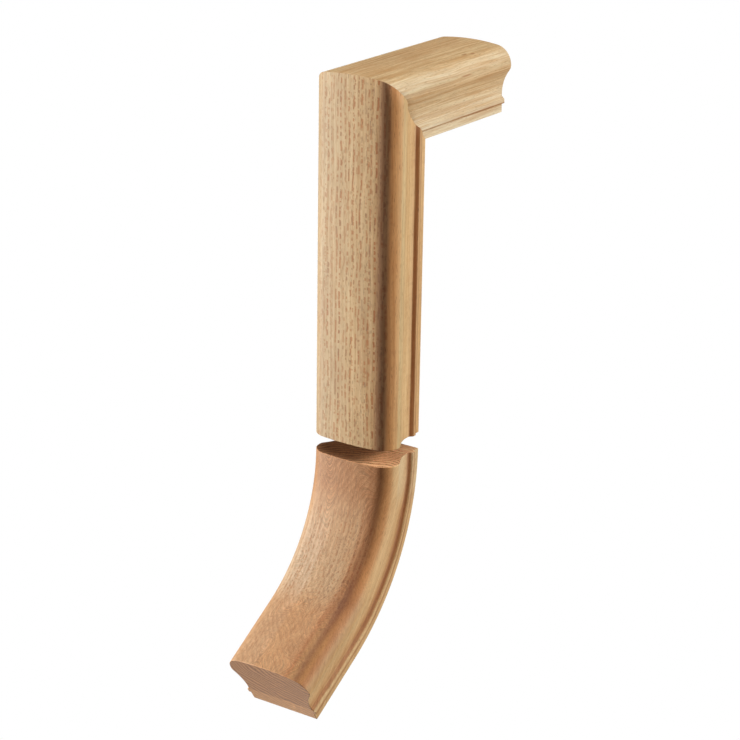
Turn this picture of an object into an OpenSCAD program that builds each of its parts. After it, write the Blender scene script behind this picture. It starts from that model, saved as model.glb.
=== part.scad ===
// Handrail gooseneck fitting: a short level arm mitred to a vertical leg, and
// the curved easing that carries the same rail profile down to the stair rake.
// Millimetres, +Z up. The origin is on the end face of the level arm, on its
// centre plane and half way up the rail. The level rail leaves along +X, and
// the stair goes down towards -X.

/* [Rail profile] */
// full width of the rail, across the shoulders
rail_w = 69.85; // [68.85:0.5:71.85]
// height of the rail, from its flat foot to the middle of the crown
rail_h = 50.8; // [49.8:0.5:52.8]
// radius of the shoulder, from the crown to its widest point
shoulder_r = 14; // [13:0.5:15]
// radius of the swell under the shoulder
swell_r = 6; // [5:0.5:7]
// radius of the hollow side
cove_r = 28.9; // [27.9:0.5:29.9]
// height of the neck, where the hollow side ends above the bead
neck_h = 12.3; // [11.8:0.1:13]
// half of the width across the beads
bead_half = 30.3; // [29.9:0.1:31]
// top of the bead's nose
bead_top_h = 10; // [9.5:0.1:10.5]
// underside of the bead's nose
bead_low_h = 7; // [5.5:0.1:7.6]
// half of the width of the flat foot
foot_half = 28.2; // [27:0.1:29]

/* [Level arm and leg] */
// overall length of the level arm, along its crown
arm_l = 152.4; // [90:0.1:300]
// overall length of the leg, along its crown
leg_l = 269.9; // [120:0.1:600]

/* [Lower easing] */
// open space left between the leg and the easing
gap = 12.5; // [0.5:0.5:60]
// radius of the crown along the bend
ease_r = 113; // [90:0.1:250]
// how far the easing turns, from plumb to the rake
ease_deg = 58; // [45:0.5:65]
// straight length after the bend
ease_straight = 56; // [10:1:120]

/* [Hidden] */
$fn = 96;
half_w = rail_w / 2;
mid_h = rail_h / 2;
// the crown meets the shoulder along a 15 : 112 line, and the swell meets the
// cove along a 4 : 3 line, so every arc runs smoothly into the next one
crown_step = (half_w - shoulder_r) / 15;
crown_r = shoulder_r + 113 * crown_step;
crown_y = rail_h - crown_r;
// centre of the shoulder; the swell's centre is at the same height
turn_x = 15 * crown_step;
hs = crown_y + 112 * crown_step;
// where the swell turns into the cove
swell_x = half_w - swell_r + swell_r * 0.8;
swell_y = hs - swell_r * 0.6;
// centre of the cove circle
cove_x = half_w - swell_r + (swell_r + cove_r) * 0.8;
cove_y = hs - (swell_r + cove_r) * 0.6;
// the neck on the cove circle, and the slope from the bead's nose up to it
neck_x = cove_x - sqrt(cove_r * cove_r - (cove_y - neck_h) * (cove_y - neck_h));
slope_x = neck_x - bead_half;
slope_y = neck_h - bead_top_h;
// plumb face of the leg that carries the foot of the profile
leg_x = -(arm_l - rail_h);
leg_top = rail_h - mid_h;
leg_low = leg_top - leg_l;
ease_top = leg_low - gap;
ease_cx = leg_x - rail_h - ease_r;
cut = rail_h * 4;

// one side of the section that is added to the body: shoulder and swell
module side_rounds() {
  intersection() {
    translate([turn_x, hs]) circle(r = shoulder_r, $fn = 180);
    polygon([[turn_x, hs], [turn_x + 30, hs], [turn_x + 30, hs + 30], [turn_x + 4.5, hs + 33.6]]);
  }
  intersection() {
    translate([half_w - swell_r, hs]) circle(r = swell_r);
    polygon([[half_w - swell_r, hs], [half_w - swell_r + 20, hs], [half_w - swell_r + 20, hs - 15]]);
  }
}

// the hollow side that is taken away from the body, down to the bead's slope
module side_cove() {
  intersection() {
    translate([cove_x, cove_y]) circle(r = cove_r, $fn = 240);
    polygon([[bead_half - 2 * slope_x, bead_top_h - 2 * slope_y],
             [neck_x + slope_x, neck_h + slope_y], [neck_x + slope_x, swell_y],
             [cove_x, swell_y], [cove_x, bead_top_h - 2 * slope_y]]);
  }
}

// whole section of the rail, foot on the X axis, crown up
module rail_profile() {
  difference() {
    union() {
      // crown, as a sector of its circle
      intersection() {
        translate([0, crown_y]) circle(r = crown_r, $fn = 360);
        polygon([[0, crown_y], [15 * (crown_step + 1), crown_y + 112 * (crown_step + 1)],
                 [-15 * (crown_step + 1), crown_y + 112 * (crown_step + 1)]]);
        translate([-half_w, hs + 5]) square([rail_w, rail_h]);
      }
      side_rounds();
      mirror([1, 0]) side_rounds();
      // body under the crown, with the beads and the flat foot
      polygon([[-foot_half, 0], [foot_half, 0], [foot_half, bead_low_h], [bead_half, bead_low_h],
               [bead_half, bead_top_h + 2], [swell_x, swell_y], [half_w - swell_r, hs],
               [turn_x + 4, hs + 8], [-turn_x - 4, hs + 8],
               [-(half_w - swell_r), hs], [-swell_x, swell_y],
               [-bead_half, bead_top_h + 2], [-bead_half, bead_low_h], [-foot_half, bead_low_h]]);
    }
    side_cove();
    mirror([1, 0]) side_cove();
  }
}

// level arm, cut to a 45 degree mitre where it meets the leg
module level_arm() {
  color([0.80, 0.65, 0.45])
    difference() {
      translate([-arm_l, 0, -mid_h])
        rotate([90, 0, 90]) linear_extrude(height = arm_l) rail_profile();
      translate([leg_x, 0, -mid_h]) rotate([0, 45, 0])
        translate([-cut / 2, -cut / 2, -cut]) cube([cut, cut, cut]);
    }
}

// vertical leg, mitred at its top and square at its foot
module leg() {
  color([0.82, 0.68, 0.49])
    difference() {
      translate([leg_x, 0, leg_low])
        linear_extrude(height = leg_l) rotate(90) rail_profile();
      translate([leg_x, 0, -mid_h]) rotate([0, 45, 0])
        translate([-cut / 2, -cut / 2, 0]) cube([cut, cut, cut]);
    }
}

// easing: a straight run up the rake, then a bend about an axis along Y
module lower_easing() {
  color([0.77, 0.58, 0.42])
    translate([ease_cx, 0, ease_top]) rotate([90, 0, 0]) rotate([0, 0, -ease_deg]) union() {
      rotate_extrude(angle = ease_deg, $fn = 180)
        translate([ease_r + rail_h, 0]) rotate(90) rail_profile();
      rotate([90, 0, 0]) linear_extrude(height = ease_straight)
        translate([ease_r + rail_h, 0]) rotate(90) rail_profile();
    }
}

level_arm();
leg();
lower_easing();
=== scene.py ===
import math
import bpy
import bmesh
from mathutils import Matrix, Vector


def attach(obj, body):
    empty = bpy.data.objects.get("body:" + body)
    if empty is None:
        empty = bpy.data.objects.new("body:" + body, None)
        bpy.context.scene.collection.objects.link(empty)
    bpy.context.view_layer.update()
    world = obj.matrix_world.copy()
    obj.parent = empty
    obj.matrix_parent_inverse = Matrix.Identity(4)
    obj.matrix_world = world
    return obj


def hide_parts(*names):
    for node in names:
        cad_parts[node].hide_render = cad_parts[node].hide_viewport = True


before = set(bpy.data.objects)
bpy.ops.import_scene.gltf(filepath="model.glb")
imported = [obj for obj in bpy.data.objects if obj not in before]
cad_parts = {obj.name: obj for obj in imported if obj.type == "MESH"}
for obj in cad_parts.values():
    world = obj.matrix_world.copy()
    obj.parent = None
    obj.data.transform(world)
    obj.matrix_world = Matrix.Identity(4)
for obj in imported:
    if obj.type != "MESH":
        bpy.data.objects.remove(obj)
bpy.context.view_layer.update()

MM = 0.001

# ---------------------------------------------------------------- section
# the same section as the construction, in millimetres: x across, h above the foot
RAIL_W, RAIL_H = 69.85, 50.8
SHOULDER_R, SWELL_R, COVE_R = 14.0, 6.0, 28.9
NECK_H, BEAD_HALF, BEAD_TOP, BEAD_LOW, FOOT_HALF = 12.3, 30.3, 10.0, 7.0, 28.2
ARM_L, LEG_L, GAP, EASE_R, EASE_DEG, EASE_STR = 152.4, 269.9, 12.5, 113.0, 58.0, 56.0
LEG_X = -(ARM_L - RAIL_H)
LEG_LOW = RAIL_H / 2 - LEG_L
EASE_TOP = LEG_LOW - GAP
EASE_CX = LEG_X - RAIL_H - EASE_R


def half_section():
    """Points from the middle of the crown down one side to the foot's corner."""
    hw = RAIL_W / 2
    cs = (hw - SHOULDER_R) / 15
    crown_r = SHOULDER_R + 113 * cs
    cy = RAIL_H - crown_r
    tx, hs = 15 * cs, cy + 112 * cs
    a1, a3 = math.atan2(15, 112), math.atan2(3, 4)
    pts = []

    def arc(cx, cyy, r, f, t, n, first=True):
        for i in range(0 if first else 1, n + 1):
            a = f + (t - f) * i / n
            pts.append((cx + r * math.sin(a), cyy + r * math.cos(a)))

    arc(0, cy, crown_r, 0, a1, 16)
    arc(tx, hs, SHOULDER_R, a1, math.pi / 2, 28, False)
    arc(hw - SWELL_R, hs, SWELL_R, math.pi / 2, math.pi / 2 + a3, 9, False)
    cx, cyy = hw - SWELL_R + (SWELL_R + COVE_R) * 0.8, hs - (SWELL_R + COVE_R) * 0.6
    end = math.asin((cyy - NECK_H) / COVE_R)
    for i in range(1, 23):
        a = -a3 + (end + a3) * i / 22
        pts.append((cx - COVE_R * math.cos(a), cyy - COVE_R * math.sin(a)))
    corners = [pts[-1], (BEAD_HALF, BEAD_TOP), (BEAD_HALF, BEAD_LOW), (FOOT_HALF, BEAD_LOW), (FOOT_HALF, 0.0), (0.0, 0.0)]
    radii = [0.5, 0.3, 0.45, 0.35]
    before = pts[-2]
    seq = [before] + corners
    out = pts[:-1]
    # the neck and the three corners of the bead and foot get a small round
    for k, r in zip(range(1, 6), [0.5] + radii):
        p0, p1, p2 = Vector(seq[k - 1]), Vector(seq[k]), Vector(seq[k + 1])
        u, v = (p0 - p1), (p2 - p1)
        lu, lv = u.length, v.length
        u.normalize(); v.normalize()
        ang = math.acos(max(-1, min(1, u.dot(v))))
        d = min(r / math.tan(ang / 2), 0.45 * lu, 0.45 * lv)
        rr = d * math.tan(ang / 2)
        c = p1 + (u + v).normalized() * (rr / math.sin(ang / 2))
        s, e = p1 + u * d - c, p1 + v * d - c
        for i in range(5):
            t = i / 4
            w = (s * (1 - t) + e * t)
            w = w.normalized() * rr
            out.append(tuple(c + w))
    out.append((FOOT_HALF / 2, 0.0))
    return out


HALF = half_section()
RING = [(-x, h) for x, h in HALF][::-1] + HALF[1:] + [(0.01, 0.0), (-0.01, 0.0)]
# RING runs from the far side's foot over the crown to the near side's foot and back; GIRTH is the distance along it
# from the middle of the crown, for the bands of wood tone, painted shade and painted highlight that run along the rail


def girths():
    run, out = 0.0, []
    for k, pt in enumerate(HALF):
        if k:
            run += math.dist(pt, HALF[k - 1])
        out.append(run)
    return [-q for q in out][::-1] + out[1:] + [out[-1] + FOOT_HALF / 2, -out[-1] - FOOT_HALF / 2]


GIRTH = girths()


def inset(ring, d):
    """The closed ring moved inwards by d."""
    n = len(ring)
    area = sum(ring[i][0] * ring[(i + 1) % n][1] - ring[(i + 1) % n][0] * ring[i][1] for i in range(n))
    sgn = 1 if area > 0 else -1
    out = []
    for i in range(n):
        p0, p1, p2 = Vector(ring[i - 1]), Vector(ring[i]), Vector(ring[(i + 1) % n])
        e1, e2 = (p1 - p0), (p2 - p1)
        if e1.length < 1e-9 or e2.length < 1e-9:
            out.append(tuple(p1)); continue
        n1 = Vector((-e1.y, e1.x)).normalized() * sgn
        n2 = Vector((-e2.y, e2.x)).normalized() * sgn
        m = n1 + n2
        m.normalize()
        k = d / max(0.5, m.dot(n1))
        out.append(tuple(p1 + m * k))
    return out


def build(name, rings, secs):
    """A closed sweep through rings of 3-D points (mm), with its section coordinates kept on the points."""
    n = len(rings[0])
    verts = [tuple(c * MM for c in p) for r in rings for p in r]
    faces = []
    for k in range(len(rings) - 1):
        for i in range(n):
            j = (i + 1) % n
            faces.append((k * n + i, k * n + j, (k + 1) * n + j, (k + 1) * n + i))
    faces.append(tuple(range(n))[::-1])
    faces.append(tuple((len(rings) - 1) * n + i for i in range(n)))
    me = bpy.data.meshes.new(name)
    me.from_pydata(verts, [], faces)
    at = me.attributes.new("sec", "FLOAT_VECTOR", "POINT")
    flat = [c for s in secs for p in s for c in p]
    at.data.foreach_set("vector", flat)
    ga = me.attributes.new("girth", "FLOAT", "POINT")
    ga.data.foreach_set("value", [q for s in secs for q in GIRTH])
    bm = bmesh.new()
    bm.from_mesh(me)
    bmesh.ops.recalc_face_normals(bm, faces=bm.faces)
    ends = [f for f in bm.faces if len(f.verts) > 4]
    bmesh.ops.triangulate(bm, faces=ends)
    bm.to_mesh(me)
    bm.free()
    ca = me.attributes.new("cap", "FLOAT", "FACE")
    ca.data.foreach_set("value", [1.0 if len(f.vertices) == 3 else 0.0 for f in me.polygons])
    me.shade_smooth()
    me.set_sharp_from_angle(angle=math.radians(38))
    ob = bpy.data.objects.new(name, me)
    bpy.context.scene.collection.objects.link(ob)
    return ob


def stations(total, step, edge):
    """Distances along a piece: an edge break at both ends and even steps between."""
    n = max(2, int(round((total - 2 * edge) / step)))
    return [0.0, edge] + [edge + (total - 2 * edge) * i / n for i in range(1, n)] + [total - edge, total]


EDGE = 0.28
IN = inset(RING, EDGE)
IN_M = inset(RING, 0.10)


def arm_rings():
    """Level arm: t = 0 at the mitre, 1 at the square end."""
    rings, secs = [], []
    st = stations(1.0, 0.06, 0.0015)
    for k, t in enumerate(st):
        src = IN_M if k == 0 else (IN if k == len(st) - 1 else RING)
        ring, sec = [], []
        for x, h in src:
            x0 = LEG_X - h
            ring.append((x0 * (1 - t), -x, h - RAIL_H / 2))
            sec.append((x, h, x0 * (1 - t)))
        rings.append(ring); secs.append(sec)
    return rings, secs


def leg_rings():
    rings, secs = [], []
    st = stations(1.0, 0.04, 0.001)
    for k, t in enumerate(st):
        src = IN_M if k == 0 else (IN if k == len(st) - 1 else RING)
        ring, sec = [], []
        for x, h in src:
            z0 = h - RAIL_H / 2
            z = z0 + (LEG_LOW - z0) * t
            ring.append((LEG_X - h, -x, z))
            sec.append((x, h, z))
        rings.append(ring); secs.append(sec)
    return rings, secs


def ease_rings():
    rings, secs = [], []
    arc_len = math.radians(EASE_DEG) * (EASE_R + RAIL_H / 2)
    total = arc_len + EASE_STR
    st = stations(total, 2.6, 0.28)
    for k, s in enumerate(st):
        src = IN if k in (0, len(st) - 1) else RING
        phi = min(s / arc_len, 1.0) * math.radians(EASE_DEG)
        d = max(0.0, s - arc_len)
        ring, sec = [], []
        for x, h in src:
            r = EASE_R + RAIL_H - h
            ring.append((EASE_CX + r * math.cos(phi) - d * math.sin(phi), -x,
                         EASE_TOP - r * math.sin(phi) - d * math.cos(phi)))
            sec.append((x, h, s))
        rings.append(ring); secs.append(sec)
    return rings, secs


# ---------------------------------------------------------------- materials
class Graph:
    """Short names for building a node material."""

    def __init__(self, name):
        self.mat = bpy.data.materials.new(name)
        self.mat.use_nodes = True
        self.t = self.mat.node_tree
        self.t.nodes.clear()

    def node(self, kind, **kw):
        n = self.t.nodes.new(kind)
        for k, v in kw.items():
            setattr(n, k, v)
        return n

    def link(self, a, b):
        self.t.links.new(a, b)

    def put(self, sock, v):
        if hasattr(v, "default_value") or hasattr(v, "is_output"):
            self.link(v, sock)
        else:
            sock.default_value = v

    def m(self, op, a, b=0.0, c=None, clamp=False):
        n = self.node("ShaderNodeMath", operation=op, use_clamp=clamp)
        self.put(n.inputs[0], a)
        self.put(n.inputs[1], b)
        if c is not None:
            self.put(n.inputs[2], c)
        return n.outputs[0]

    def v(self, op, a, b=(0, 0, 0)):
        n = self.node("ShaderNodeVectorMath", operation=op)
        self.put(n.inputs[0], a)
        if op == "SCALE":
            self.put(n.inputs["Scale"], b)
            return n.outputs[0]
        self.put(n.inputs[1], b)
        return n.outputs[1] if op == "DOT_PRODUCT" else n.outputs[0]

    def xyz(self, x, y, z):
        n = self.node("ShaderNodeCombineXYZ")
        for s, q in zip(n.inputs, (x, y, z)):
            self.put(s, q)
        return n.outputs[0]

    def noise(self, vec, scale=1.0, detail=2.0, rough=0.5, out=0):
        n = self.node("ShaderNodeTexNoise")
        n.inputs["Scale"].default_value = scale
        n.inputs["Detail"].default_value = detail
        n.inputs["Roughness"].default_value = rough
        self.link(vec, n.inputs["Vector"])
        return n.outputs[out]

    def voronoi(self, vec):
        n = self.node("ShaderNodeTexVoronoi")
        n.inputs["Scale"].default_value = 1.0
        self.link(vec, n.inputs["Vector"])
        return n.outputs["Distance"], n.outputs["Color"]

    def ramp(self, x, lo, hi, a=0.0, b=1.0, smooth=True):
        n = self.node("ShaderNodeMapRange", clamp=True, interpolation_type="SMOOTHSTEP" if smooth else "LINEAR")
        self.put(n.inputs[0], x)
        n.inputs[1].default_value, n.inputs[2].default_value = lo, hi
        self.put(n.inputs[3], a)
        self.put(n.inputs[4], b)
        return n.outputs[0]

    def mix(self, f, a, b, kind="MIX"):
        n = self.node("ShaderNodeMix", data_type="RGBA", blend_type=kind)
        self.put(n.inputs[0], f)
        self.put(n.inputs[6], a)
        self.put(n.inputs[7], b)
        return n.outputs[2]


def rgb(r, g, b):
    f = lambda c: (c / 255 / 12.92) if c / 255 <= 0.04045 else ((c / 255 + 0.055) / 1.055) ** 2.4
    return (f(r), f(g), f(b), 1.0)


def oak(name, fibre, radial, light, dark, dash, seed, tone_and_painted_light_bands, tone_and_sheen_runs=(), rough=0.55, dashes=1.0, dash_size=(3.7, 4.4, 0.95),
        hatch=0.0, hatch_turn=0.6, streak=1.0, pores=0.5, blotch=0.3, rings=0.2, ring_w=3.1, heart=400.0, flecks=(),
        cap_rings=0.3, cap_tone_and_painted_light=(), dash_span=()):
    g = Graph(name)
    co = g.node("ShaderNodeTexCoord").outputs["Object"]
    p = g.v("SCALE", co, 1000.0)
    fibre, radial = Vector(fibre).normalized(), Vector(radial).normalized()
    tang = fibre.cross(radial).normalized()
    u, t, w = [g.v("DOT_PRODUCT", p, tuple(d)) for d in (radial, tang, fibre)]
    u, t, w = g.m("ADD", u, seed * 37.3), g.m("ADD", t, seed * 19.7), g.m("ADD", w, seed * 53.1)
    base = g.xyz(u, t, w)
    # slow waves of the fibre
    bend = g.noise(g.v("MULTIPLY", base, (0.035, 0.035, 0.011)), 1.0, 2.0, 0.5, 1)
    bend = g.v("SUBTRACT", bend, (0.5, 0.5, 0.5))
    bent = g.v("ADD", base, g.v("MULTIPLY", bend, (6.0, 4.5, 0.0)))
    sec = g.node("ShaderNodeAttribute", attribute_name="sec")
    ss = g.node("ShaderNodeSeparateXYZ")
    g.link(sec.outputs["Vector"], ss.inputs[0])
    girth = g.node("ShaderNodeAttribute", attribute_name="girth").outputs["Fac"]
    crown = g.ramp(g.m("ABSOLUTE", girth), 22.0, 34.0, 1.0, 0.12)

    # soft streaks along the grain
    s1 = g.noise(g.v("MULTIPLY", bent, (0.34, 0.34, 0.010)), 1.0, 3.0, 0.55)
    s2 = g.noise(g.v("MULTIPLY", bent, (1.15, 1.15, 0.020)), 1.0, 3.0, 0.6)
    s3 = g.m("ADD", g.m("MULTIPLY", s1, 0.55), g.m("MULTIPLY", s2, 0.45))
    col = g.mix(g.ramp(s3, 0.5 - 0.15 / streak, 0.5 + 0.15 / streak, smooth=False), light, dark)
    cap = g.node("ShaderNodeAttribute", attribute_name="cap").outputs["Fac"]
    side = g.m("SUBTRACT", 1.0, cap)
    # growth rings round a far-off heart: a soft rise and a sharper end
    sep = g.node("ShaderNodeSeparateXYZ")
    g.link(bent, sep.inputs[0])
    rad = g.m("ADD", sep.outputs[0], heart)
    rad = g.m("SQRT", g.m("ADD", g.m("MULTIPLY", rad, rad), g.m("MULTIPLY", sep.outputs[1], sep.outputs[1])))
    phase = g.m("FRACT", g.m("DIVIDE", rad, ring_w))
    ringv = g.m("MULTIPLY", g.ramp(phase, 0.15, 0.80), g.ramp(phase, 1.0, 0.88))
    ring_n = g.ramp(g.noise(g.v("MULTIPLY", bent, (0.12, 0.12, 0.02)), 1.0, 1.0), 0.35, 0.65, 0.45, 1.0)
    ringf = g.m("MULTIPLY", g.m("MULTIPLY", ringv, ring_n), g.m("MULTIPLY", side, rings))
    if hatch:
        ringf = g.m("MULTIPLY", ringf, g.ramp(g.m("ABSOLUTE", girth), 20.0, 32.0, 1.0, 0.3))
    col = g.mix(ringf, col, dash)
    # rays: short dashes along the piece where the crown cuts across them, in loose columns
    a, b, per = dash_size
    crown = g.m("MULTIPLY", crown, side)
    sx, sh, sl = ss.outputs[0], ss.outputs[1], ss.outputs[2]
    if dash_span:
        f = g.m("MULTIPLY", g.ramp(sl, dash_span[0], dash_span[1]), g.ramp(sl, dash_span[2], dash_span[3], 1.0, 0.35))
        crown = g.m("MULTIPLY", crown, f)

    def columns_of(per, length, width, off, cut):
        """Dashes in columns: which column, how far off its line, and where along it a dash starts and ends."""
        sway = g.noise(g.xyz(g.m("MULTIPLY", sx, 0.05), g.m("MULTIPLY", sl, 0.018), seed + off), 1.0, 1.0)
        c = g.m("ADD", g.m("DIVIDE", sx, per), g.m("ADD", g.m("MULTIPLY", sway, 1.6), 60.0 + off))
        k = g.m("FLOOR", c)
        wn = g.node("ShaderNodeTexWhiteNoise", noise_dimensions="2D")
        g.link(g.xyz(k, seed + off, 0.0), wn.inputs["Vector"])
        wc = g.node("ShaderNodeSeparateColor")
        g.link(wn.outputs["Color"], wc.inputs[0])
        along = g.noise(g.xyz(g.m("MULTIPLY", k, 7.31), g.m("DIVIDE", sl, length), g.m("MULTIPLY", k, 3.17)), 1.0, 1.0, 0.6)
        shift = g.m("ADD", g.m("MULTIPLY", g.m("SUBTRACT", wc.outputs[0], 0.5), 0.45), g.m("MULTIPLY", g.m("SUBTRACT", along, 0.5), 0.5))
        lat = g.m("MULTIPLY", g.m("ABSOLUTE", g.m("SUBTRACT", g.m("SUBTRACT", g.m("SUBTRACT", c, k), 0.5), shift)), per)
        gate = g.m("ADD", g.ramp(along, cut, cut + 0.075), 0.0)
        body = g.ramp(g.m("DIVIDE", lat, g.m("ADD", 0.45, g.m("MULTIPLY", gate, 0.55))), width, width * 0.35)
        return g.m("MULTIPLY", g.m("MULTIPLY", gate, body), g.m("ADD", 0.35, g.m("MULTIPLY", wc.outputs[1], 0.75)), clamp=True), lat

    d1, lat1 = columns_of(a, b, per, 0.0, 0.465)
    d2, lat2 = columns_of(a * 0.77, b * 0.8, per * 0.85, 3.7, 0.52)
    d3, lat3 = columns_of(a * 1.31, b * 1.5, per * 0.9, 9.1, 0.53)
    r1 = g.m("MULTIPLY", d1, g.m("MULTIPLY", crown, dashes))
    r2 = g.m("MULTIPLY", g.m("MAXIMUM", d2, g.m("MULTIPLY", d3, 0.9)), g.m("MULTIPLY", crown, dashes * 0.85))
    lite = g.m("MULTIPLY", g.ramp(lat1, 0.9, 1.7), g.m("MULTIPLY", crown, 0.42 * dashes))
    lite = g.m("MULTIPLY", lite, g.ramp(g.noise(g.xyz(g.m("MULTIPLY", sx, 0.5), g.m("MULTIPLY", sl, 0.05), seed), 1.0, 2.0), 0.35, 0.6))
    col = g.mix(lite, col, (min(1, light[0] * 1.10), min(1, light[1] * 1.11), min(1, light[2] * 1.13), 1.0))
    tone = g.noise(g.v("MULTIPLY", base, (0.1, 0.25, 0.09)), 1.0, 1.0)
    red = (dash[0] * 1.34, dash[1] * 1.14, dash[2] * 0.84, 1.0)
    grey = (dash[0] * 0.80, dash[1] * 0.92, dash[2] * 1.45, 1.0)
    col = g.mix(g.m("MULTIPLY", r1, 0.74), col, g.mix(g.ramp(tone, 0.48, 0.66), red, dash))
    col = g.mix(g.m("MULTIPLY", r2, 0.66), col, g.mix(g.m("MULTIPLY", g.ramp(tone, 0.40, 0.56), g.ramp(girth, 0.0, 15.0)), red, grey))
    rayf = g.m("MAXIMUM", r1, r2)
    if hatch:
        # silver figure: fine lines that cross the length at a slant and fan out
        fan = g.m("MULTIPLY", g.m("SUBTRACT", g.noise(g.v("MULTIPLY", base, (0.012, 0.020, 0.010)), 1.0, 1.0), 0.47), 5.0)
        ang = g.m("ADD", fan, hatch_turn)
        ca, sa = g.m("COSINE", ang), g.m("SINE", ang)
        aa = g.m("ADD", g.m("MULTIPLY", t, ca), g.m("MULTIPLY", w, sa))
        bb = g.m("SUBTRACT", g.m("MULTIPLY", w, ca), g.m("MULTIPLY", t, sa))
        h1 = g.noise(g.xyz(g.m("MULTIPLY", aa, 1.25), g.m("MULTIPLY", bb, 0.12), g.m("MULTIPLY", u, 0.1)), 1.0, 1.0, 0.5)
        hv = g.ramp(h1, 0.36, 0.64, 1.0 - hatch, 1.0 + hatch, smooth=False)
        on_top = g.ramp(g.m("ABSOLUTE", girth), 20.0, 32.0, 1.0, 0.2)
        fade = g.m("MULTIPLY", g.m("SUBTRACT", hv, 1.0), g.m("MULTIPLY", on_top, g.m("SUBTRACT", 1.35, g.m("MULTIPLY", crown, 0.5))))
        hv = g.m("ADD", fade, 1.0)
        col = g.mix(1.0, col, g.xyz(hv, hv, hv), "MULTIPLY")
    # open pores: short fine lines, thicker in the ring's early wood
    dist2, cc2 = g.voronoi(g.v("MULTIPLY", bent, (1 / 0.8, 1 / 0.8, 1 / 6.5)))
    early = g.ramp(phase, 0.55, 0.15, 0.45, 1.0)
    pore = g.m("MULTIPLY", g.ramp(dist2, 0.18, 0.32, 1.0, 0.0), early)
    poref = g.m("MULTIPLY", pore, pores)
    col = g.mix(poref, col, (dash[0] * 0.55, dash[1] * 0.50, dash[2] * 0.46, 1.0))
    # fine fibre, and a slow unevenness of tone
    fine = g.noise(g.v("MULTIPLY", bent, (2.6, 2.6, 0.10)), 1.0, 3.0, 0.65)
    slow = g.noise(g.v("MULTIPLY", base, (0.045, 0.045, 0.015)), 1.0, 2.0, 0.5)
    val = g.m("ADD", g.ramp(fine, 0.3, 0.7, 0.90, 1.10, smooth=False), g.m("MULTIPLY", g.m("SUBTRACT", slow, 0.5), blotch))
    col = g.mix(1.0, col, g.xyz(val, val, val), "MULTIPLY")
    # bands that run along the rail: the wood's own lighter and warmer tones, and also painted shade and painted
    # highlight, set for each material where it is made
    wob = g.m("MULTIPLY", g.m("SUBTRACT", g.noise(g.v("MULTIPLY", base, (0.08, 0.08, 0.018)), 1.0, 3.0), 0.5), 2.6)
    pos = g.m("DIVIDE", g.m("ADD", g.m("ADD", girth, wob), 112.0), 224.0)
    rmp = g.node("ShaderNodeValToRGB")
    el = rmp.color_ramp.elements
    while len(el) > 1:
        el.remove(el[-1])
    for k, (q, tint) in enumerate(tone_and_painted_light_bands):
        e = el[0] if k == 0 else el.new((q + 112) / 224)
        e.position = (q + 112) / 224
        e.color = (tint[0] / 2, tint[1] / 2, tint[2] / 2, 1.0)
    g.link(pos, rmp.inputs[0])
    with_tone_and_painted_light = g.mix(1.0, col, g.v("SCALE", rmp.outputs[0], 2.0), "MULTIPLY")
    # patches along the length, for the easing: wood tone, and painted sheen and painted highlight on the crown
    for tint, s0, s1_, q0, q1 in tone_and_sheen_runs:
        f = g.m("MULTIPLY", g.ramp(sl, s0, s1_), g.m("MULTIPLY", g.ramp(girth, q0 - 3, q0 + 1), g.ramp(girth, q1 - 1, q1 + 3, 1.0, 0.0)))
        with_tone_and_painted_light = g.mix(f, with_tone_and_painted_light, g.mix(1.0, with_tone_and_painted_light, (tint[0], tint[1], tint[2], 1.0), "MULTIPLY"))
    # sawn ends: darker end grain, with the board under the bead in its own tone
    end_grain_and_painted_light = col
    ex, eh = g.m("SUBTRACT", ss.outputs[0], 44.0), g.m("SUBTRACT", ss.outputs[1], 84.0)
    er = g.m("SQRT", g.m("ADD", g.m("MULTIPLY", ex, ex), g.m("MULTIPLY", g.m("MULTIPLY", eh, eh), 1.6)))
    ew = g.noise(g.v("MULTIPLY", sec.outputs["Vector"], (0.045, 0.045, 0.01)), 1.0, 1.0)
    low = g.ramp(ss.outputs[1], 12.6, 11.8)
    ep = g.m("FRACT", g.m("DIVIDE", g.m("ADD", g.m("ADD", er, g.m("MULTIPLY", ew, 16.0)), g.m("MULTIPLY", low, 7.7)), 4.3))
    ev = g.m("MULTIPLY", g.ramp(ep, 0.15, 0.8), g.ramp(ep, 1.0, 0.88))
    en = g.noise(g.v("MULTIPLY", sec.outputs["Vector"], (0.9, 0.9, 0.01)), 1.0, 2.0)
    ev = g.m("MULTIPLY", g.m("MULTIPLY", ev, g.ramp(en, 0.3, 0.65, 0.45, 1.0)), g.m("MULTIPLY", cap_rings, g.m("SUBTRACT", 1.0, g.m("MULTIPLY", low, 0.5))))
    end_grain_and_painted_light = g.mix(ev, end_grain_and_painted_light, g.mix(1.0, end_grain_and_painted_light, (0.36, 0.29, 0.22, 1.0), "MULTIPLY"))
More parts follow.
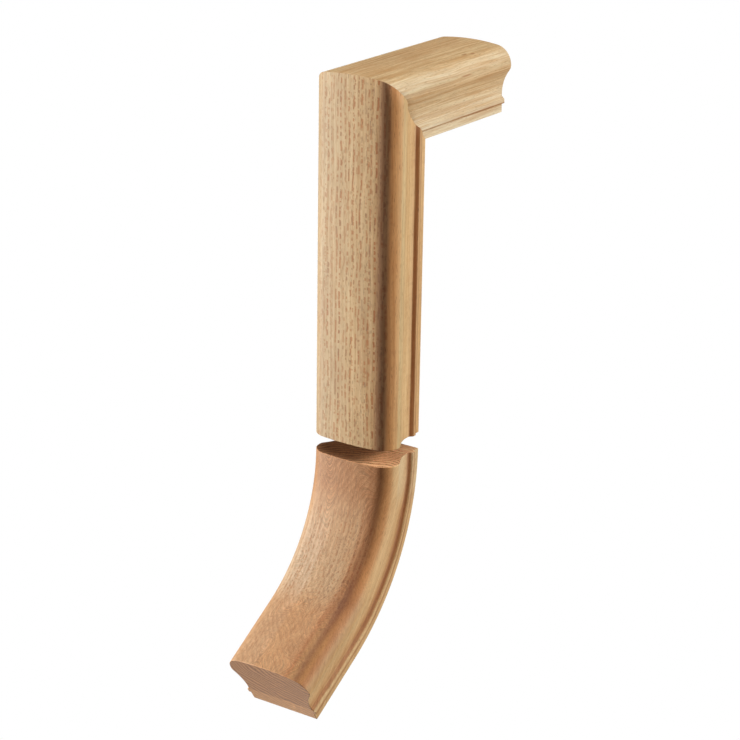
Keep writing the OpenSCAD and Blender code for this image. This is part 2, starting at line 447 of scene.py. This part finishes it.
    # patches on the end faces; on the easing's top end these are a painted shadow of the leg on the far side and a
    # painted pool of light on the near side
    for tint, chan, c0, c1, s0, s1_ in cap_tone_and_painted_light:
        f = g.m("MULTIPLY", g.ramp(ss.outputs[chan], c0, c1), g.ramp(sl, s0, s1_))
        end_grain_and_painted_light = g.mix(f, end_grain_and_painted_light, g.mix(1.0, end_grain_and_painted_light, (tint[0], tint[1], tint[2], 1.0), "MULTIPLY"))
    for fx, fh, fs, rx, rh, rs in flecks:
        off = g.v("DIVIDE", g.v("SUBTRACT", sec.outputs["Vector"], (fx, fh, fs)), (rx, rh, rs))
        n = g.node("ShaderNodeVectorMath", operation="LENGTH")
        g.link(off, n.inputs[0])
        near = g.m("ADD", n.outputs[1], g.m("MULTIPLY", g.m("SUBTRACT", s2, 0.5), 1.2))
        with_tone_and_painted_light = g.mix(g.ramp(near, 1.0, 0.45, 0.0, 0.75), with_tone_and_painted_light, dash)
    col = g.mix(cap, with_tone_and_painted_light, end_grain_and_painted_light)
    bsdf = g.node("ShaderNodeBsdfPrincipled")
    g.link(col, bsdf.inputs["Base Color"])
    r = g.m("ADD", g.ramp(fine, 0.3, 0.7, rough - 0.05, rough + 0.06, smooth=False), g.m("MULTIPLY", pore, 0.15), clamp=True)
    g.link(r, bsdf.inputs["Roughness"])
    bsdf.inputs["Specular IOR Level"].default_value = 0.38
    hgt = g.m("SUBTRACT", g.m("MULTIPLY", fine, 0.3), g.m("ADD", g.m("MULTIPLY", pore, 0.9 * pores), g.m("MULTIPLY", rayf, 0.4)))
    bump = g.node("ShaderNodeBump")
    bump.inputs["Strength"].default_value = 0.4
    bump.inputs["Distance"].default_value = 0.0002
    g.link(hgt, bump.inputs["Height"])
    g.link(bump.outputs[0], bsdf.inputs["Normal"])
    out = g.node("ShaderNodeOutputMaterial")
    g.link(bsdf.outputs[0], out.inputs[0])
    return g.mat


leg_mat = oak("leg_oak", (0, 0.012, 1), (1, 0, 0), rgb(224, 196, 154), rgb(198, 162, 116), rgb(156, 102, 62), 1.0,
              dashes=1.0, pores=0.45,
              # the dark stripe down the shoulder (girth 21 to 31) is painted shade with some darker wood in it, and the
              # dark strips on the bead's slope (67.8 to 70.6) and in the crease under the bead (73.8) are painted
              # shade; the orange down the swell and the other tints are the wood's own tone
              tone_and_painted_light_bands=((-60, (1.0, 1.0, 0.95)), (-28, (0.90, 0.93, 0.98)), (-14, (0.98, 1.0, 1.0)), (4, (1.06, 1.03, 0.97)),
                     (19.0, (1.02, 0.95, 0.86)), (21.2, (0.90, 0.78, 0.66)), (22.6, (0.74, 0.60, 0.50)), (24.6, (0.62, 0.46, 0.41)),
                     (27, (0.62, 0.46, 0.40)), (29.5, (0.74, 0.52, 0.42)), (31.7, (1.02, 0.68, 0.45)), (36, (1.08, 0.78, 0.52)), (39.8, (1.04, 0.86, 0.62)), (41.0, (1.06, 1.10, 0.96)), (46, (0.98, 0.96, 0.86)),
                     (62, (1.08, 1.02, 0.88)), (67.0, (1.0, 0.9, 0.76)), (67.8, (0.60, 0.36, 0.22)), (70.6, (0.60, 0.36, 0.22)),
                     (71.4, (1.04, 0.92, 0.76)), (73.8, (0.7, 0.55, 0.42)), (76.2, (1.04, 0.93, 0.76))))
arm_mat = oak("arm_oak", (1, 0, 0.0), (0, 0.82, 0.57), rgb(226, 196, 149), rgb(200, 156, 105), rgb(168, 112, 64), 2.0,
              dashes=0.25, dash_size=(3.1, 9.0, 0.8), streak=1.5, pores=0.35, blotch=0.2,
              flecks=((22.6, 48.6, -45.0, 1.5, 3.0, 4.5), (24.4, 48.0, -37.0, 1.3, 3.0, 3.6), (36.0, 38.6, -60.0, 6.0, 0.8, 9.0)),
              # the cream streaks down the shoulder (girth 27 to 37) and over the neck and bead (66 to 72.5) are painted
              # highlight, and the dark strip under the bead (73.4 to 76.2) is painted shade; the other tints lighten or
              # darken the wood across the section
              tone_and_painted_light_bands=((-50, (1.0, 1.0, 1.0)), (0, (1.0, 1.0, 1.0)), (22, (1.0, 1.03, 1.04)), (27, (1.0, 1.08, 1.16)), (31, (1.02, 1.19, 1.46)),
                     (37, (1.0, 1.16, 1.42)), (39.5, (0.88, 0.97, 1.06)), (43, (0.93, 0.95, 0.97)), (46.5, (1.10, 1.13, 1.18)), (50, (1.10, 1.15, 1.22)),
                     (60, (1.06, 1.15, 1.28)), (66, (1.08, 1.30, 1.66)), (72.5, (1.10, 1.30, 1.64)), (73.4, (0.60, 0.44, 0.32)),
                     (76.2, (0.60, 0.44, 0.32)), (77.2, (1.15, 1.35, 1.68))))
ease_mat = oak("easing_oak", (0.5, 0.03, 0.866), (-0.6, 0.7, 0.33), rgb(216, 174, 134), rgb(190, 142, 102), rgb(150, 96, 60), 3.0,
               dashes=0.8, dash_size=(3.3, 3.0, 0.85), dash_span=(30.0, 62.0, 122.0, 150.0), hatch=0.17, ring_w=2.3, rings=0.28, heart=70.0, streak=0.8, pores=0.4,
               blotch=0.2, cap_rings=1.0,
               # the dark stripe down the shoulder (girth 21.5 to 32) and the dark strips on the bead's slope (66.6 to
               # 69.2) and in the crease under the bead (73.8) are painted shade; the lighter, yellower cove is the
               # wood's own tone
               tone_and_painted_light_bands=((-60, (1.0, 0.95, 0.85)), (-26, (1.03, 1.0, 0.96)), (-10, (1.04, 1.0, 0.95)), (18, (1.0, 0.93, 0.84)), (21.5, (0.84, 0.70, 0.56)),
                      (27.5, (0.70, 0.50, 0.36)), (32, (1.0, 0.78, 0.52)), (35, (1.12, 0.95, 0.68)), (38.5, (1.20, 1.30, 1.10)),
                      (44, (1.20, 1.38, 1.28)), (60, (1.17, 1.30, 1.17)), (65.4, (1.05, 1.02, 0.85)), (66.6, (0.60, 0.40, 0.24)),
                      (69.2, (0.62, 0.42, 0.26)), (70.4, (1.15, 1.26, 1.1)), (73.8, (0.7, 0.55, 0.42)), (76.2, (1.16, 1.28, 1.12))),
               # along the bend: the paler middle of the crown (s 30 to 62 and 64 to 100) is part wood tone and part
               # painted sheen, and the lighter left of the crown from s 44 to 74 is a painted highlight; the other
               # patches lighten or darken the wood in places
               tone_and_sheen_runs=(((1.05, 1.17, 1.24), 30.0, 62.0, -60.0, 17.0), ((0.97, 0.82, 0.70), 112.0, 146.0, -60.0, 20.0), ((1.22, 1.38, 1.35), 126.0, 165.0, 22.0, 31.0),
                     ((0.88, 0.80, 0.72), 44.0, 24.0, -60.0, 21.0), ((1.0, 1.06, 1.16), 44.0, 74.0, -60.0, -8.0),
                     ((0.95, 0.90, 0.82), 70.0, 108.0, 22.0, 42.0), ((0.95, 0.92, 0.88), 118.0, 160.0, 34.0, 44.0),
                     ((1.0, 1.12, 1.28), 42.0, 20.0, 44.0, 90.0), ((1.02, 1.08, 1.14), 64.0, 100.0, -60.0, 14.0), ((0.76, 0.66, 0.56), 24.0, 50.0, 64.5, 65.0),
                     ((1.26, 1.46, 1.55), 30.0, 60.0, 69.5, 70.0), ((1.28, 1.48, 1.72), 118.0, 160.0, 66.0, 68.5), ((0.84, 0.82, 0.86), 92.0, 122.0, 26.0, 41.0), ((1.25, 1.25, 1.25), 0.9, 0.3, -40.0, 45.0),
                     ((1.25, 1.25, 1.25), 195.2, 195.8, -40.0, 45.0)),
               # on the top end, the far side darker (x below 20) is a painted shadow of the leg and the near side
               # lighter (x above 2) is painted light; on the lower end, darker all over and lighter below the bead
               # where the second board is
               cap_tone_and_painted_light=(((0.60, 0.50, 0.43), 0, 20.0, -8.0, 60.0, 50.0), ((2.1, 2.15, 2.15), 0, 2.0, 22.0, 60.0, 50.0),
                     ((0.76, 0.61, 0.42), 2, 60.0, 90.0, 60.0, 90.0), ((1.22, 1.30, 1.36), 1, 12.6, 11.8, 60.0, 90.0)))

# ---------------------------------------------------------------- pieces
for name, make, slot, mat, node in (("oak_level_arm", arm_rings, "arm_oak", arm_mat, "level_arm"),
                                    ("oak_leg", leg_rings, "leg_oak", leg_mat, "leg"),
                                    ("oak_lower_easing", ease_rings, "easing_oak", ease_mat, "lower_easing")):
    ob = build(name, *make())
    ob.data.materials.append(mat)
    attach(ob, "root")
    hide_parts(node)

# ---------------------------------------------------------------- floor, world, light
fl = bpy.data.meshes.new("floor")
fl.from_pydata([(-9, -9, -1.25), (9, -9, -1.25), (9, 9, -1.25), (-9, 9, -1.25)], [], [(0, 1, 2, 3)])
floor = bpy.data.objects.new("floor", fl)
bpy.context.scene.collection.objects.link(floor)
fm = bpy.data.materials.new("pale_floor")
fm.use_nodes = True
nt = fm.node_tree
nt.nodes.clear()
em = nt.nodes.new("ShaderNodeEmission")
em.inputs["Color"].default_value = (1, 1, 1, 1)
em.inputs["Strength"].default_value = 1.0
fo = nt.nodes.new("ShaderNodeOutputMaterial")
nt.links.new(em.outputs[0], fo.inputs[0])
floor.data.materials.append(fm)
floor.visible_diffuse = False
floor.visible_glossy = False
floor.visible_transmission = False
floor.visible_shadow = False

world = bpy.data.worlds.new("studio")
bpy.context.scene.world = world
world.use_nodes = True
wn = world.node_tree
wn.nodes.clear()
lp = wn.nodes.new("ShaderNodeLightPath")
fill = wn.nodes.new("ShaderNodeBackground")
fill.inputs["Color"].default_value = (1.0, 0.80, 0.68, 1)
fill.inputs["Strength"].default_value = 0.025
white = wn.nodes.new("ShaderNodeBackground")
white.inputs["Color"].default_value = (1, 1, 1, 1)
white.inputs["Strength"].default_value = 1.0
mixw = wn.nodes.new("ShaderNodeMixShader")
wo = wn.nodes.new("ShaderNodeOutputWorld")
wn.links.new(lp.outputs["Is Camera Ray"], mixw.inputs[0])
wn.links.new(fill.outputs[0], mixw.inputs[1])
wn.links.new(white.outputs[0], mixw.inputs[2])
wn.links.new(mixw.outputs[0], wo.inputs[0])

CENTRE = Vector((-0.13, 0.0, -0.19))


def softbox(name, az, el, dist, w, h, weight, tint=(1, 1, 1), aim=CENTRE):
    """A soft panel seen from the object at azimuth az (from -X towards -Y) and elevation el. weight is the light that it
    throws on a surface that faces it, as a share of a white one's full brightness."""
    a, e = math.radians(az), math.radians(el)
    d = Vector((-math.cos(a) * math.cos(e), -math.sin(a) * math.cos(e), math.sin(e)))
    li = bpy.data.lights.new(name, "AREA")
    li.shape = "RECTANGLE"
    li.size, li.size_y = w, h
    li.energy = math.pi ** 2 * dist ** 2 * weight
    li.color = tint
    ob = bpy.data.objects.new(name, li)
    bpy.context.scene.collection.objects.link(ob)
    ob.location = aim + d * dist
    z = d
    up = Vector((0, 0, 1)) if abs(d.z) < 0.95 else Vector((0, 1, 0))
    x = up.cross(z).normalized()
    y = z.cross(x)
    ob.rotation_euler = Matrix((x, y, z)).transposed().to_euler()
    ob.visible_camera = False
    return ob


softbox("left_panel", -58, -3, 2.2, 0.40, 2.2, 1.42, (1.0, 0.99, 0.97))
softbox("right_panel", 118, 11, 2.2, 0.42, 2.1, 1.06, (1.0, 0.98, 0.95))
softbox("top_panel", -35, 80, 2.0, 1.1, 1.1, 0.50)
softbox("front_top_panel", 43, 52, 2.4, 0.7, 0.7, 0.14)
softbox("low_panel", -67, -76, 1.9, 1.2, 1.2, 0.42, (1.0, 0.97, 0.93))

# ---------------------------------------------------------------- camera
# found from the outline of the fitting in the picture, in a 740 pixel square frame
AZ, EL, ROLL = 0.59675, 0.34563, 0.01571
F_PX, DIST, TARGET = 2323.27, 1.673901, Vector((-0.124482, 0.0, -0.196007))
fwd = Vector((math.cos(AZ) * math.cos(EL), math.sin(AZ) * math.cos(EL), -math.sin(EL)))
right = fwd.cross(Vector((0, 0, 1))).normalized()
up = right.cross(fwd)
r2 = right * math.cos(ROLL) + up * math.sin(ROLL)
u2 = -right * math.sin(ROLL) + up * math.cos(ROLL)
cam = bpy.data.cameras.new("camera")
cam.sensor_fit = "HORIZONTAL"
cam.sensor_width = 36.0
cam.lens = F_PX / 740 * 36.0
cam.clip_start, cam.clip_end = 0.05, 50
co = bpy.data.objects.new("camera", cam)
bpy.context.scene.collection.objects.link(co)
rot = Matrix((r2, u2, -fwd)).transposed().to_4x4()
co.matrix_world = Matrix.Translation(TARGET - fwd * DIST) @ rot
bpy.context.scene.camera = co

vs = bpy.context.scene.view_settings
vs.view_transform = "Standard"
vs.look = "None"
vs.exposure, vs.gamma = 0.0, 1.0
